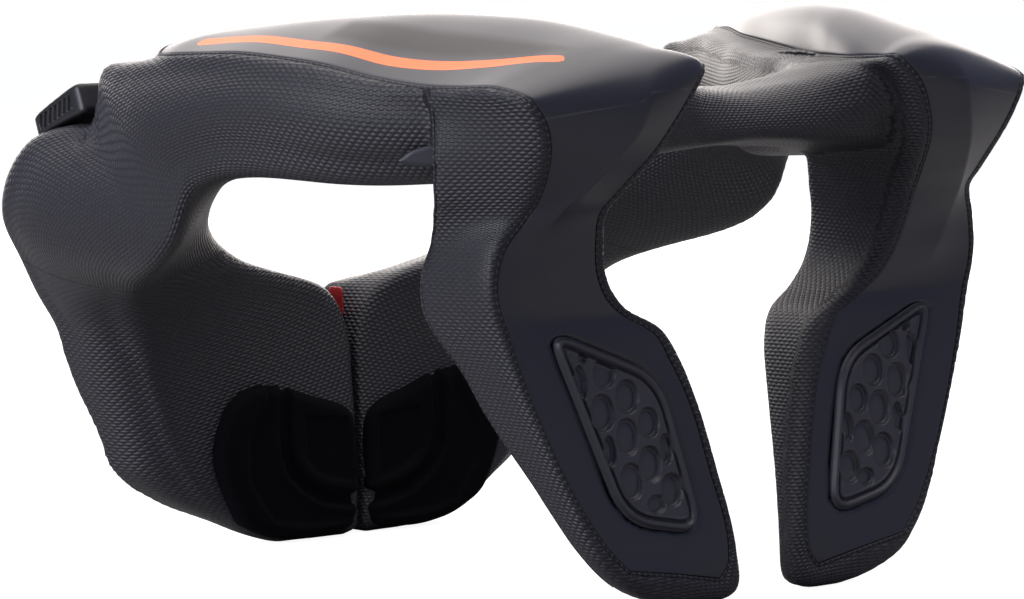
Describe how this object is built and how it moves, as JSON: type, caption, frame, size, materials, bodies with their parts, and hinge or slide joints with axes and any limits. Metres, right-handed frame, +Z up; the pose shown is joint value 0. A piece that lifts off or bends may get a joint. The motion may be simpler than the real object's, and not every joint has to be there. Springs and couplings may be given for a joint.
{
  "type": "motocross neck brace",
  "caption": "Padded foam neck brace on two back legs and a split chest piece, with hard covers over the legs and top, rubber grips and dark chest pads.",
  "frame": {"origin": "middle of the bounding box, on the ground plane under the two legs and the chest piece", "axes": "+Z up, +Y from the nape towards the chest, +X towards the wearer's right; the brace mirrors across the YZ plane"},
  "size_m": [0.302, 0.2804, 0.202],
  "materials": {
    "foam_skin": "embossed fabric over foam",
    "shell": "satin",
    "grip_rubber": "matte",
    "pad_velour": "velour",
    "clip_plastic": "moulded",
    "badge_plastic": "satin",
    "red_plastic": "satin"
  },
  "bodies": {
    "root": {"foam_body": "foam_skin", "shell_right": "shell", "shell_left": "shell", "insert_right": "grip_rubber", "insert_left": "grip_rubber", "chest_pad_right": "pad_velour", "chest_pad_left": "pad_velour", "clip_right": "clip_plastic", "clip_left": "clip_plastic", "badge_right": "badge_plastic", "badge_left": "badge_plastic", "split_tab": "red_plastic"}
  },
  "joints": []
}
